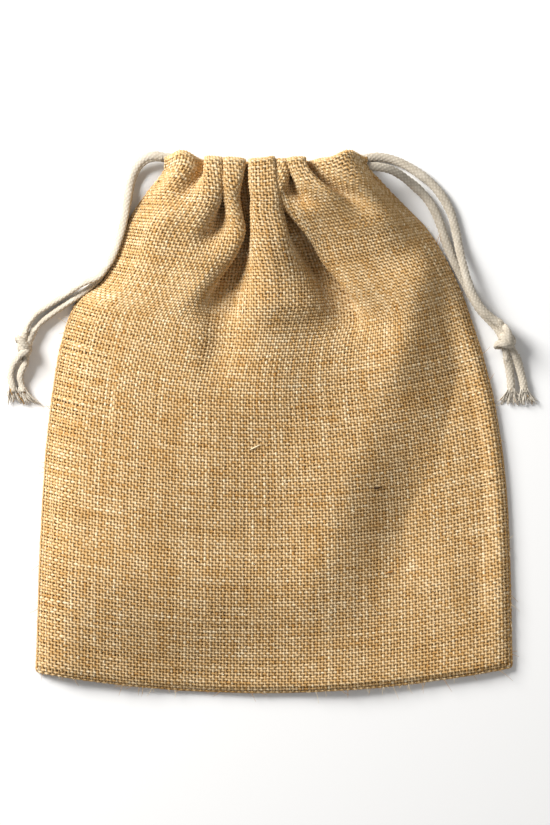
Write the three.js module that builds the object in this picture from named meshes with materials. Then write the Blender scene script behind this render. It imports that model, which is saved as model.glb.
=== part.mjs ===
// Drawstring gift pouch of natural hessian, empty, lying on its back panel.
// Millimetres. X runs across the pouch, Y runs up it to the mouth, Z points out of the table.
// The origin is the middle of the cloth pouch's box, on the table.
import * as THREE from 'three';

// ---- driving dimensions ----
const CLOTH = 1.2;            // thickness of one layer of hessian
const GAP = 0.3;              // gap kept between pieces that touch
const SEAM_ALLOWANCE = 9;     // cloth turned in at the side and bottom seams
const SEAM_INSET = 2.2;       // from the pouch's edge to the seam allowance, past the stitches
const SEAM_STACK = 5.0;       // height of the seam's four layers at the pouch's edge
const THREAD = 0.8;           // sewing thread
const CORD = 5;               // the braided cotton cord, round where it lies free
const CORD_FLAT = 3.4;        // and its thickness where the hems press it flat

const MOUTH_X = -5.7;         // middle of the gathered mouth
const MOUTH_HALF = 64.3;      // half width of the gathered mouth
const EAR = 12;               // length of each end of the two channels
const MOUTH_RISE = 0.155;     // how fast the mouth's line climbs from its middle to its ends
const CASING_TOP = 163;       // Y of the mouth's fold, at its middle
const CASING_DEPTH = 24;      // depth of the hem that holds the cords
const MOUTH_SLIT = 4.6;       // gap between the front and back hems
const BODY_CROWN = 21.5;      // height of the pouch's body above the table
const FRONT_TOP = 31;         // height of the gathered front hem above the table
const BOTTOM_BOW = 14.3;      // how far the bottom edge bows out below its corners
const HEM_LINE = CASING_TOP - CASING_DEPTH - THREAD - 2 * GAP; // top edge of the panels, at its middle

// Heights of the two cords in the back hem, one on the other, and of both in the front hem,
// where they lie side by side under the gathers.
const BACK_LOW = CLOTH + GAP + CORD_FLAT / 2;
const BACK_HIGH = BACK_LOW + CORD_FLAT + GAP;
const BACK_TOP = BACK_HIGH + CORD_FLAT / 2 + GAP + CLOTH;
const FRONT_BOTTOM = BACK_TOP + MOUTH_SLIT;
const FRONT_CORD = FRONT_BOTTOM + CLOTH + GAP + CORD_FLAT / 2;

// The cords run just inside the fold: an upper line, and a lower line beside it.
const UPPER_LINE = CASING_TOP - CLOTH - 0.55 - CORD / 2;
const LOWER_LINE = UPPER_LINE - 7;
const DRAW_LENGTH = 60;       // straight cord in each channel that can be drawn out of it

const hessian = { color: 0xc9a06a, roughness: 0.95, metalness: 0 };
const cotton = { color: 0xddd3c2, roughness: 0.9, metalness: 0 };
const jute = { color: 0xb98f5c, roughness: 0.9, metalness: 0 };
const colours = { hessian, cotton, jute };

const group = new THREE.Group();
group.name = 'drawstring_pouch';

function add(name, geometry, finish) {
  const mesh = new THREE.Mesh(geometry, new THREE.MeshStandardMaterial(colours[finish]));
  mesh.name = name;
  group.add(mesh);
}

// ---- the bell-shaped outline ----
const leftEdge = new THREE.SplineCurve([
  new THREE.Vector2(-151.7, -158.2),
  new THREE.Vector2(-149.8, -100),
  new THREE.Vector2(-146, -30),
  new THREE.Vector2(-138.5, 30),
  new THREE.Vector2(-126.5, 70),
  new THREE.Vector2(-107.5, 86.5),
  new THREE.Vector2(-95.5, 106.5),
  new THREE.Vector2(-90, 128),
  new THREE.Vector2(-72, 147),
]);
const rightEdge = new THREE.SplineCurve([
  new THREE.Vector2(151.7, -156.2),
  new THREE.Vector2(150.5, -100),
  new THREE.Vector2(147, -35),
  new THREE.Vector2(140, 14),
  new THREE.Vector2(128, 58),
  new THREE.Vector2(113, 95),
  new THREE.Vector2(99, 120),
  new THREE.Vector2(80, 138),
  new THREE.Vector2(60.5, 147),
]);

function mouthRise(x) {
  return MOUTH_RISE * Math.min(Math.abs(x - MOUTH_X), MOUTH_HALF);
}

// u goes from the left edge to the right one, v from the bottom seam to the hem.
function bellPoint(u, v) {
  const left = leftEdge.getPoint(v);
  const right = rightEdge.getPoint(v);
  const point = left.lerp(right, u);
  const across = 2 * u - 1;
  point.y -= BOTTOM_BOW * (1 - across * across) * (1 - v) ** 4;
  const top = leftEdge.getPoint(1).lerp(rightEdge.getPoint(1), u);
  point.y -= (top.y - HEM_LINE - mouthRise(top.x)) * v * v;
  return point;
}

// A point on a side edge, moved squarely into the pouch: side is 0 on the left and 1 on the right.
function insetEdge(side, v, inset) {
  const step = 0.01;
  const along = bellPoint(side, Math.min(v + step, 1)).sub(bellPoint(side, Math.max(v - step, 0)));
  const inward = new THREE.Vector2(along.y, -along.x).normalize().multiplyScalar(side === 0 ? 1 : -1);
  return bellPoint(side, v).addScaledVector(inward, inset);
}

function smooth(from, to, value) {
  return THREE.MathUtils.smoothstep(value, from, to);
}

// Height of the front panel's outer face: low at the seams, and highest under the front hem.
function crown(u, v) {
  const body = (BODY_CROWN - SEAM_STACK) * smooth(0, 0.25, v);
  const shoulder = (FRONT_TOP - BODY_CROWN) * smooth(0.5, 1, v);
  const across = (1 - Math.abs(2 * u - 1) ** 3) ** 0.8;
  return SEAM_STACK + (body + shoulder) * across;
}

// A block of unit size, cut into columns and rows, whose corners are moved to place(u, v, w).
function mappedBlock(columns, rows, place) {
  const block = new THREE.BoxGeometry(1, 1, 1, columns, rows, 1);
  const corners = block.getAttribute('position');
  for (let i = 0; i < corners.count; i += 1) {
    const spot = place(corners.getX(i) + 0.5, corners.getY(i) + 0.5, corners.getZ(i) + 0.5);
    corners.setXYZ(i, spot.x, spot.y, spot.z);
  }
  block.computeVertexNormals();
  return block;
}

// ---- panels and seams ----
function frontPanel() {
  return mappedBlock(22, 18, (u, v, w) => {
    const flat = bellPoint(u, v);
    return new THREE.Vector3(flat.x, flat.y, crown(u, v) - CLOTH * (1 - w));
  });
}

function backPanel() {
  return mappedBlock(16, 18, (u, v, w) => {
    const flat = bellPoint(u, v);
    return new THREE.Vector3(flat.x, flat.y, CLOTH * w);
  });
}

// A side seam's allowance, turned in between the panels.
function sideSeam(side) {
  return mappedBlock(1, 24, (u, v, w) => {
    const across = side === 0 ? u : 1 - u;
    const spot = insetEdge(side, 0.05 + 0.9 * v, SEAM_INSET + SEAM_ALLOWANCE * across);
    return new THREE.Vector3(spot.x, spot.y, seamHeight(w));
  });
}

function bottomSeam() {
  return mappedBlock(20, 1, (u, v, w) => {
    const edge = bellPoint(0.01 + 0.98 * u, 0);
    return new THREE.Vector3(edge.x, edge.y + SEAM_INSET + SEAM_ALLOWANCE * v, seamHeight(w));
  });
}

function seamHeight(w) {
  const low = CLOTH + GAP;
  const high = SEAM_STACK - CLOTH - GAP;
  return THREE.MathUtils.lerp(low, high, w);
}

// ---- tubes ----
function roundSection(x, y, width, sides, height = width) {
  const section = new THREE.Shape();
  for (let i = 0; i < sides; i += 1) {
    const turn = (i / sides) * 2 * Math.PI;
    const cornerX = x + (width / 2) * Math.cos(turn);
    const cornerY = y + (height / 2) * Math.sin(turn);
    if (i === 0) section.moveTo(cornerX, cornerY);
    else section.lineTo(cornerX, cornerY);
  }
  section.closePath();
  return section;
}

function tube(points, diameter, sides, steps) {
  const corners = points.map((point) => new THREE.Vector3(...point));
  const extrudePath = new THREE.CatmullRomCurve3(corners, false, 'centripetal');
  return new THREE.ExtrudeGeometry(roundSection(0, 0, diameter, sides), { steps, extrudePath });
}

function seamThread(edgePoint) {
  const points = [];
  for (let i = 0; i <= 24; i += 1) {
    const spot = edgePoint(i / 24);
    points.push([spot.x, spot.y, SEAM_STACK / 2]);
  }
  return tube(points, THREAD, 6, 30);
}

function sideThread(side) {
  return seamThread((share) => insetEdge(side, 0.05 + 0.92 * share, SEAM_INSET / 2));
}

function bottomThread() {
  return seamThread((share) => bellPoint(0.01 + 0.98 * share, 0).add(new THREE.Vector2(0, SEAM_INSET / 2)));
}

// ---- the two hems that hold the cords ----
// A section in (Y, Z) is extruded along X from start to end, then follows the mouth's rise.
function alongMouth(section, start, end, steps) {
  const bar = new THREE.ExtrudeGeometry(section, { depth: end - start, steps, bevelEnabled: false });
  const corners = bar.getAttribute('position');
  for (let i = 0; i < corners.count; i += 1) {
    const x = start + corners.getZ(i);
    corners.setXYZ(i, x, corners.getX(i) + mouthRise(x), corners.getY(i));
  }
  bar.computeVertexNormals();
  return bar;
}

function rectangle(path, y0, y1, z0, z1) {
  path.moveTo(y0, z0);
  path.lineTo(y1, z0);
  path.lineTo(y1, z1);
  path.lineTo(y0, z1);
  path.closePath();
  return path;
}

function casing(z0, z1) {
  const y0 = CASING_TOP - CASING_DEPTH;
  const section = rectangle(new THREE.Shape(), y0, CASING_TOP, z0, z1);
  const hollow = rectangle(new THREE.Path(), y0 + CLOTH, CASING_TOP - CLOTH, z0 + CLOTH, z1 - CLOTH);
  section.holes.push(hollow);
  const reach = MOUTH_HALF - EAR - GAP;
  return alongMouth(section, MOUTH_X - reach, MOUTH_X + reach, 2);
}

// The last stretch of a hem, where its inner layer is cut back so that the other cord can turn round.
function ear(side, z0, z1, outer) {
  const y0 = CASING_TOP - CASING_DEPTH;
  const y1 = CASING_TOP;
  const section = new THREE.Shape();
  const flap = outer === 'top' ? z1 - CLOTH : z0 + CLOTH;
  const edge = outer === 'top' ? z1 : z0;
  const free = outer === 'top' ? z0 : z1;
  section.moveTo(y0, edge);
  section.lineTo(y1, edge);
  section.lineTo(y1, free);
  section.lineTo(y1 - CLOTH, free);
  section.lineTo(y1 - CLOTH, flap);
  section.lineTo(y0, flap);
  section.closePath();
  const near = MOUTH_X + side * (MOUTH_HALF - EAR);
  const far = MOUTH_X + side * MOUTH_HALF;
  return alongMouth(section, Math.min(near, far), Math.max(near, far), 1);
}

function casingThread(z) {
  const reach = MOUTH_HALF - EAR;
  const y = CASING_TOP - CASING_DEPTH - GAP - THREAD / 2;
  return alongMouth(roundSection(y, z, THREAD, 6), MOUTH_X - reach, MOUTH_X + reach, 2);
}

// ---- cord inside the hems ----
// line is the Y of the cord at the mouth's middle. from and to are distances from that middle.
function runInHem(line, z, from, to) {
  return alongMouth(roundSection(line, z, CORD, 8, CORD_FLAT), MOUTH_X + from, MOUTH_X + to, 12);
}

const EXIT = MOUTH_HALF;
const DRAW_END = MOUTH_HALF - DRAW_LENGTH;
const BIGHT_START = MOUTH_HALF - EAR;

// The left cord turns round in the right ear, straight from the front hem down to the back one.
function leftCordBight() {
  const x = MOUTH_X + BIGHT_START + GAP;
  const bend = (FRONT_CORD - BACK_HIGH) / 2;
  const middle = (FRONT_CORD + BACK_HIGH) / 2;
  const points = [[x, UPPER_LINE + mouthRise(x), FRONT_CORD]];
  for (let i = 0; i <= 6; i += 1) {
    const turn = (i / 6) * Math.PI;
    const out = x + 2 + bend * Math.sin(turn);
    points.push([out, UPPER_LINE + mouthRise(out), middle + bend * Math.cos(turn)]);
  }
  points.push([x, UPPER_LINE + mouthRise(x), BACK_HIGH]);
  return tube(points, CORD_FLAT, 8, 16);
}

// The right cord turns round in the left ear, from its lower line in front to under the left cord.
function rightCordBight() {
  const x = MOUTH_X - BIGHT_START - GAP;
  const low = LOWER_LINE + mouthRise(x);
  const high = UPPER_LINE + mouthRise(x);
  return tube([
    [x, low, FRONT_CORD],
    [x - 3.5, low + 0.4, FRONT_CORD - 0.4],
    [x - 7, low + 0.9, FRONT_CORD - 3.4],
    [x - 8.2, low + 1.2, FRONT_CORD - 7.6],
    [x - 7.4, low + 1.8, BACK_LOW + 3],
    [x - 5.4, high - 3.6, BACK_LOW + 0.6],
    [x - 3, high - 0.6, BACK_LOW],
    [x, high, BACK_LOW],
  ], CORD_FLAT, 8, 20);
}

// ---- the free cord ends, knots and tassels: routes chosen along the table ----
const LIE = CORD / 2 + 0.05;            // height of a cord's middle where it lies on the table
const OVER = LIE + CORD + 0.35;         // and where it lies on another cord

const leftExitY = UPPER_LINE + mouthRise(MOUTH_X - EXIT);
const rightBackExitY = UPPER_LINE + mouthRise(MOUTH_X + EXIT);
const rightFrontExitY = LOWER_LINE + mouthRise(MOUTH_X + EXIT);
const leftExitX = MOUTH_X - EXIT - 2.5 * GAP;
const rightExitX = MOUTH_X + EXIT + 2.5 * GAP;

const leftFrontRoute = [
  [leftExitX, leftExitY, FRONT_CORD],
  [-76, 169.3, 17.8],
  [-81.8, 168, 17],
  [-86.6, 163.8, 15.2],
  [-90, 157.4, 12.8],
  [-92.2, 149.8, 10.4],
  [-93.6, 141.5, 8.6],
  [-95, 133, OVER],
  [-97.4, 122, OVER],
  [-101.2, 110, OVER],
  [-106.2, 100, OVER],
  [-112.6, 92.4, 7.6],
  [-119, 89.8, 6.8],
  [-126.4, 86, 4.6],
  [-134.6, 80.6, LIE],
  [-145, 74, LIE],
  [-152.4, 68.6, 2.9],
  [-157.2, 62.4, 3.8],
  [-159, 56.4, 4.8],
];
const leftBackRoute = [
  [leftExitX, leftExitY, BACK_HIGH],
  [-76, 169, 6.7],
  [-81.8, 167.4, 5.4],
  [-86.6, 163.2, 3.8],
  [-90, 156.8, 2.8],
  [-92.2, 149.4, LIE],
  [-93.6, 141.3, LIE],
  [-95, 132.8, LIE],
  [-97.4, 121.8, LIE],
  [-101.2, 109.8, LIE],
  [-106.2, 99.4, LIE],
  [-113, 90.4, LIE],
  [-121, 83.6, LIE],
  [-130.2, 77.2, LIE],
  [-141.2, 69.8, LIE],
  [-149.6, 63, 2.9],
  [-154, 57.4, 3.8],
];
const rightBackRoute = [
  [rightExitX, rightBackExitY, BACK_LOW],
  [66.6, 169.4, 3],
  [75, 168, 2.7],
  [83.4, 164.6, LIE],
  [91.6, 159.6, LIE],
  [100, 153, LIE],
  [107.6, 144, LIE],
  [113.2, 133.2, LIE],
  [116.2, 121.6, 2.8],
  [118.2, 110.8, 4.6],
  [120.8, 99.8, 6.8],
  [124, 88.4, 7.7],
  [128.4, 78.2, OVER],
  [134, 70.4, OVER],
  [140.2, 65.6, 7.6],
  [144.6, 62.6, 7.4],
];
const rightFrontRoute = [
  [rightExitX, rightFrontExitY, FRONT_CORD],
  [65.4, 162.2, 17.7],
  [72.6, 161, 16],
  [79.4, 158, 12.6],
  [85.4, 154, 8.6],
  [91.2, 149.4, 5],
  [96.8, 143.8, 3],
  [102, 136.2, LIE],
  [106.4, 126, LIE],
  [110, 114.6, LIE],
  [115, 102.6, LIE],
  [121.2, 90, LIE],
  [128.2, 77, LIE],
  [134, 69.4, LIE],
  [139.4, 63.6, LIE],
  [142.6, 59.6, 3.2],
];
const leftTailOuter = [
  [-163.2, 41.4, 4],
  [-166.8, 37, 3],
  [-168.6, 31, LIE],
  [-168, 25.4, LIE],
  [-167.2, 21.8, LIE],
  [-167.2, 19.4, LIE],
];
const leftTailInner = [
  [-158.8, 38, 4.4],
  [-161, 33.8, 4],
  [-162.4, 29.4, 3.4],
  [-161.8, 24.8, LIE],
  [-161, 21.6, LIE],
  [-161, 19.4, LIE],
];
const rightTailInner = [
  [148.6, 41.6, 4.4],
  [150, 36.4, 3.2],
  [150.8, 30.6, LIE],
  [151.4, 24.6, LIE],
  [151.4, 21.4, LIE],
  [151.4, 18.8, LIE],
];
const rightTailOuter = [
  [154.2, 42.6, 4.6],
  [156.2, 37, 3.4],
  [157.8, 31, LIE],
  [159.2, 25.2, LIE],
  [159.8, 21.4, LIE],
  [159.8, 18.8, LIE],
];

// An overhand knot of both cord ends, pulled tight.
function knot(x, y, z, width, length, height, turn) {
  const ball = new THREE.SphereGeometry(0.5, 12, 8);
  ball.rotateX(Math.PI / 2);
  ball.scale(width, length, height);
  ball.rotateZ(THREE.MathUtils.degToRad(turn));
  ball.translate(x, y, z);
  return ball;
}

// The opened fibres at a cord's end: a tuft that widens away from the cord.
function fray(route, reach, lean) {
  const length = 12;
  const tuft = new THREE.CylinderGeometry(CORD / 2, reach / 2, length, 10, 1);
  const flatten = tuft.getAttribute('position');
  const [x, y] = route[route.length - 1];
  for (let i = 0; i < flatten.count; i += 1) {
    const along = length / 2 - flatten.getY(i);
    const height = flatten.getZ(i) * (along > 0 ? CORD / reach : 1);
    flatten.setXYZ(i, x + flatten.getX(i) + (lean * along) / length, y - GAP - along, LIE + height);
  }
  tuft.computeVertexNormals();
  return tuft;
}

// In each hem, the draw run is the straight cord that pulls out, and the hem run is the rest.
function cordInHem(name, outward, line, z) {
  const draw = [outward * EXIT, outward * (DRAW_END + GAP)].sort((a, b) => a - b);
  const rest = [outward * DRAW_END, -outward * (BIGHT_START - GAP)].sort((a, b) => a - b);
  add(`${name}_draw_run`, runInHem(line, z, ...draw), 'cotton');
  add(`${name}_hem_run`, runInHem(line, z, ...rest), 'cotton');
}

add('back_panel', backPanel(), 'hessian');
add('front_panel', frontPanel(), 'hessian');
add('left_side_seam', sideSeam(0), 'hessian');
add('right_side_seam', sideSeam(1), 'hessian');
add('bottom_seam', bottomSeam(), 'hessian');
add('left_side_thread', sideThread(0), 'jute');
add('right_side_thread', sideThread(1), 'jute');
add('bottom_thread', bottomThread(), 'jute');

add('front_casing', casing(FRONT_BOTTOM, FRONT_TOP), 'hessian');
add('back_casing', casing(0, BACK_TOP), 'hessian');
add('front_casing_thread', casingThread(FRONT_TOP - CLOTH / 2), 'jute');
add('back_casing_thread', casingThread(CLOTH / 2), 'jute');
add('left_front_ear', ear(-1, FRONT_BOTTOM, FRONT_TOP, 'top'), 'hessian');
add('left_back_ear', ear(-1, 0, BACK_TOP, 'bottom'), 'hessian');
add('right_front_ear', ear(1, FRONT_BOTTOM, FRONT_TOP, 'top'), 'hessian');
add('right_back_ear', ear(1, 0, BACK_TOP, 'bottom'), 'hessian');

cordInHem('left_cord_front', -1, UPPER_LINE, FRONT_CORD);
cordInHem('left_cord_back', -1, UPPER_LINE, BACK_HIGH);
cordInHem('right_cord_front', 1, LOWER_LINE, FRONT_CORD);
cordInHem('right_cord_back', 1, UPPER_LINE, BACK_LOW);
add('left_cord_front_leg', tube(leftFrontRoute, CORD, 8, 56), 'cotton');
add('left_cord_back_leg', tube(leftBackRoute, CORD, 8, 56), 'cotton');
add('right_cord_front_leg', tube(rightFrontRoute, CORD, 8, 56), 'cotton');
add('right_cord_back_leg', tube(rightBackRoute, CORD, 8, 56), 'cotton');
add('left_cord_bight', leftCordBight(), 'cotton');
add('right_cord_bight', rightCordBight(), 'cotton');

add('left_knot', knot(-159.6, 47.4, 5.4, 11, 15.4, 10.4, -8), 'cotton');
add('right_knot', knot(148.2, 52.4, 6.4, 13.6, 19, 12.4, 24), 'cotton');
add('left_outer_tail', tube(leftTailOuter, CORD, 8, 10), 'cotton');
add('left_inner_tail', tube(leftTailInner, CORD, 8, 10), 'cotton');
add('right_inner_tail', tube(rightTailInner, CORD, 8, 10), 'cotton');
add('right_outer_tail', tube(rightTailOuter, CORD, 8, 10), 'cotton');
add('left_outer_fray', fray(leftTailOuter, 9, 3), 'cotton');
add('left_inner_fray', fray(leftTailInner, 10, 7), 'cotton');
add('right_inner_fray', fray(rightTailInner, 9, -1), 'cotton');
add('right_outer_fray', fray(rightTailOuter, 9, 3), 'cotton');

export default group;
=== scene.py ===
"""Drawstring gift pouch: hessian woven yarn by yarn over gathered cloth, with two braided cotton cords."""
import math

import bpy
import numpy as np
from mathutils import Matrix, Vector


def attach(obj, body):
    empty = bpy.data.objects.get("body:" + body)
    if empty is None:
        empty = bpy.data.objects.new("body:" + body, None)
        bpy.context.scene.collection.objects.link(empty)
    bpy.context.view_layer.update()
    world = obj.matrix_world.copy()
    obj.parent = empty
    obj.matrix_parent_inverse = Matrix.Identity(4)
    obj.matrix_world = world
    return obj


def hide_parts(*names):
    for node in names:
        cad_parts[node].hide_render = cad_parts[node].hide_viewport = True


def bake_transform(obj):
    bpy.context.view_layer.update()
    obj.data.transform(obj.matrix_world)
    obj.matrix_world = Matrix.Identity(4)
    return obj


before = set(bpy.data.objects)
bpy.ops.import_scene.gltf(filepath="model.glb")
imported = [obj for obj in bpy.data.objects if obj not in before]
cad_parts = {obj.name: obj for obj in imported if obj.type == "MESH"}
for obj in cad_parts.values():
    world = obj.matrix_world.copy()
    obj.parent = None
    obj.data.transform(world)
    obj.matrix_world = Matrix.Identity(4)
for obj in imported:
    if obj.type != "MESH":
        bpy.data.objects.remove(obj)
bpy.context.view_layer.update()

MM = 0.001
SEED = 7
WARPS = 148                  # spaces between warp yarns across one panel
WEFTS = 174                  # spaces between weft yarns from the bottom seam to the mouth's fold
HEM = 12                     # weft spaces turned down inside the mouth
FOLD = {"front": 10, "back": 5}    # weft spaces over the mouth's fold
PITCH = 2.05 * MM            # spacing of the yarns
MOUTH_X = -5.7               # the rest of the plan is in millimetres
MOUTH_HALF = 64.3
EAR = 12.0                   # length of the hem at each end of the mouth that moves
MOUTH_RISE = 0.155           # slope of the mouth up to its ends
MOUTH_TOP = 163.0
UPPER_LINE, LOWER_LINE = 158.75, 151.75              # where the cords run in the hems, in plan
BACK_LOW, BACK_HIGH, FRONT_CORD = 3.2, 6.9, 17.9     # and their heights
CORD_WIDE, CORD_THICK, CORD_FLAT = 5.6, 3.3, 3.4
LIE, OVER = 2.55, 7.9        # heights of a cord's middle on the table, and on another cord
TABLE_GAP = 0.05             # the least height of any yarn or braid
SETTLE_ROUNDS, QUICK_ROUNDS = 90, 30
SETTLE_HASTE = 1.2           # share of each correction made in a round
SETTLE_WEIGHT = 0.002        # how far the cloth sinks in a round
FRONT_FLOOR, CORD_FLOOR, BACK_FLOOR = 2.4, 17.6, 1.4     # the front's floor rises by the second at the hem
FRONT_HEM_Z, BACK_HEM_Z = 14.9, 9.6                  # heights of the hems' inner layers
FOLD_BULGE = 2.0
BAG_HEIGHT = 22              # of the front over its seams, at its fullest
STEP_DROP = 13               # how far the front steps down at the right
YARN_WIDE, YARN_THICK = 1.74, 1.0


# ---------------------------------------------------------------- helpers

def catmull(points, t):
    """Points of a Catmull-Rom curve at t from 0 to 1, spaced evenly along its length."""
    p = np.asarray(points, float)
    p = np.vstack([2 * p[0] - p[1], p, 2 * p[-1] - p[-2]])
    u = np.linspace(0, len(p) - 3 - 1e-9, 40 * (len(p) - 3) + 1)
    k = u.astype(int)
    f = (u - k)[:, None]
    a, b, c, d = p[k], p[k + 1], p[k + 2], p[k + 3]
    q = 0.5 * (2 * b + (c - a) * f + (2 * a - 5 * b + 4 * c - d) * f**2 + (3 * b - a - 3 * c + d) * f**3)
    run = np.concatenate([[0], np.cumsum(np.linalg.norm(np.diff(q, axis=0), axis=1))])
    return np.column_stack([np.interp(np.asarray(t) * run[-1], run, q[:, n]) for n in range(q.shape[1])])


def smooth(low, high, x):
    """0 at low and 1 at high, with a soft start and end. High may be below low."""
    f = np.clip((np.asarray(x, float) - low) / (high - low), 0, 1)
    return f * f * (3 - 2 * f)


def unit(v):
    return v / np.maximum(np.linalg.norm(v, axis=-1, keepdims=True), 1e-12)


def soft_noise(rng, shape, step):
    """Smooth random numbers about 0 with a spread of 1, changing over about step entries on each axis."""
    noise = rng.standard_normal([n + 1 for n in shape])
    for axis, (n, s) in enumerate(zip(shape, step)):
        knots = max(2, int(n / s) + 2)
        picked = np.take(noise, np.arange(knots) % noise.shape[axis], axis=axis)
        at = np.linspace(0, knots - 1.001, n)
        k, f = at.astype(int), at - at.astype(int)
        f = (f * f * (3 - 2 * f)).reshape([-1 if a == axis else 1 for a in range(noise.ndim)])
        noise = np.take(picked, k, axis=axis) * (1 - f) + np.take(picked, k + 1, axis=axis) * f
    return noise / max(noise.std(), 1e-9)


def mouth_rise(x):
    return MOUTH_RISE * np.minimum(np.abs(np.asarray(x) - MOUTH_X), MOUTH_HALF)


# ---------------------------------------------------------------- the cloth's shape

LEFT_EDGE = [(-151.7, -159.4), (-149.2, -84), (-144.6, -10), (-136, 48), (-126, 76), (-111.5, 88),
             (-101, 106), (-93, 128), (-82, 144.5), (-70.5, 158), (-69, 166)]
RIGHT_EDGE = [(151.7, -156.5), (150.6, -100), (147.6, -39), (140, 14), (126.7, 62), (113.3, 96),
              (98.6, 121), (84, 137), (70.4, 150.4), (60, 161), (58.6, 166)]
BOTTOM_MIDDLE = -172.5
HIGHEST_FOLD = 26

# Creases at the mouth, left to right: their place along the cloth, how far they drift for each mm down
# the cloth, the depths below the mouth where they start and stop fading, how fast they widen, and the
# depth where their floor is widest, with how much wider it is there.
FRONT_CREASES = [(0, 0, 10, 140, 0.3, 0, 0), (32, -0.15, 0, 42, 0, 0, 0), (74, -0.15, 12, 70, 0, 0, 0),
                 (122, -0.17, 45, 130, 0.15, 28, 0.16), (174, 0.26, 66, 125, 0.15, 55, 0.30),
                 (212, 0.2, 0, 36, 0, 0, 0), (255, 0.2, 0, 48, 0, 0, 0), (303.4, 0, 10, 140, 0.3, 0, 0)]
FRONT_WIDTHS = [26, 11.2, 14.1, 18.9, 7.7, 9.6, 40]
# Where the two long creases run: distance below the mouth, place across the plan, and width of the floor.
FRONT_RUNS = {3: [(0, -17.6, 0.5), (12, -18.2, 5), (24, -18.6, 13), (45, -19.5, 12), (66, -25, 12),
                  (88, -32, 14), (112, -38, 10)],
              4: [(0, 1.3, 0.5), (16, 2.6, 2), (30, 7, 8), (42, 14, 14), (54, 22, 18), (79, 36, 16),
                  (112, 50, 8)]}
BACK_CREASES = [(0, 0, 0, 120, 0.3, 0, 0), (38, -0.1, 0, 50, 0, 0, 0), (80, 0, 0, 90, 0.1, 0, 0),
                (130, 0, 0, 60, 0, 0, 0), (172, 0.05, 0, 60, 0, 0, 0), (214, 0.1, 0, 90, 0.1, 0, 0),
                (262, 0, 0, 50, 0, 0, 0), (303.4, 0, 0, 120, 0.3, 0, 0)]
BACK_WIDTHS = [27, 13, 17, 14, 13, 16.5, 27]

# Soft folds of the front panel: start and end of each, half its width, and its rise, in mm.
SOFT_FOLDS = [
    ((96, 104), (74, 30), 15, 3.5),
    ((-26, 104), (-36, 40), 12, -4.5),
    ((20, 108), (48, 66), 12, -5.0),
    ((-58, 150), (-112, 72), 13, 3.0),
    ((-2, 118), (-4, 20), 18, 2.5),
    ((-96, 128), (-114, 88), 2.4, -6.5),
    ((-120, 30), (-60, -60), 40, 1.5),
    ((20, -60), (-40, -120), 30, -1.2),
    ((120, -20), (100, -110), 26, 1.6),
]
# The front steps down to the right of this line.
STEP_LINE = [(126, 128), (106, 70), (86, 14), (60, -46), (40, -100), (30, -175)]


def lobe(x, floor=0.14):
    """One side of a crease: its floor at 0, its wall, and the crown of the gather beside it at 1."""
    wall = max(0.5, floor + 0.25)
    return np.clip(x / floor, 0, 1) * np.clip((1 - x) / (1 - wall), 0, 1)


def swing_for(share):
    """The slope, in radians, that draws a gather in to that share of its cloth."""
    x = np.linspace(0, 1, 200)
    low, high = 0.0, 2.1
    for _ in range(30):
        middle = (low + high) / 2
        if np.cos(middle * lobe(x)).mean() > share:
            low = middle
        else:
            high = middle
    return low


def gather_slopes(creases, widths, s, depth):
    """The cloth's slope along a row that is depth below the mouth."""
    lengths = np.diff([crease[0] for crease in creases])
    swings = [swing_for(width / length) for width, length in zip(widths, lengths)]
    total = np.zeros_like(s)
    for k, (at, drift, start, end, widen, widest, wider) in enumerate(creases):
        x = s - at - drift * depth
        floor = 0.14 + wider * math.exp(-((depth - widest) / 24) ** 2)
        for side, near in ((-1, k - 1), (1, k)):
            if 0 <= near < len(swings):
                half = lengths[near] / 2 + widen * depth
                reach = lobe(np.abs(x) / half, floor) * (np.sign(x) == side)
                total += side * swings[near] * reach * smooth(end, start, depth)
    return total


def drawn_in(slopes, s, chord):
    """x and z along a run of cloth whose slopes are scaled until it spans the chord, as far as they can."""
    low, high = 0.0, 1.3
    steps = np.diff(s)
    middle = (slopes[:-1] + slopes[1:]) / 2
    for _ in range(26):
        a = (low + high) / 2
        if (np.cos(a * middle) * steps).sum() > chord:
            low = a
        else:
            high = a
    x = np.concatenate([[0], np.cumsum(np.cos(low * middle) * steps)])
    z = np.concatenate([[0], np.cumsum(np.sin(low * middle) * steps)])
    return x * chord / x[-1], z - np.linspace(0, z[-1], len(z))


def gathered_row(creases, widths, runs, s, depth, left, right):
    """x and z of one row between its two edges, with the long creases where their runs put them."""
    fine = np.linspace(0, s[-1], 6 * len(s))
    slopes = gather_slopes(creases, widths, fine, depth)
    chord = right - left
    even = drawn_in(slopes, fine, min(chord, s[-1] * 0.9995))[0] * chord / min(chord, s[-1] * 0.9995)
    held = smooth(165, 95, depth)
    pins = [(0.0, 0.0)]
    for k, run in runs.items():
        at = creases[k][0] + creases[k][1] * min(depth, 120)
        run = np.array(run, float)
        wanted = np.interp(depth, run[:, 0], run[:, 1]) - left
        middle = wanted * held + np.interp(at, fine, even) * (1 - held)
        half = np.interp(depth, run[:, 0], run[:, 2]) / 2
        pins += [(at - half, middle - half), (at + half, middle + half)]
    pins.append((s[-1], chord))
    x, z = np.zeros_like(s), np.zeros_like(s)
    for (s0, x0), (s1, x1) in zip(pins, pins[1:]):
        own = np.concatenate([[s0], fine[(fine > s0) & (fine < s1)], [s1]])
        along, rise = drawn_in(np.interp(own, fine, slopes), own, x1 - x0)
        here = (s >= s0) & (s <= s1)
        x[here] = x0 + np.interp(s[here], own, along)
        z[here] = np.interp(s[here], own, rise)
    return left + x, z


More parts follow.
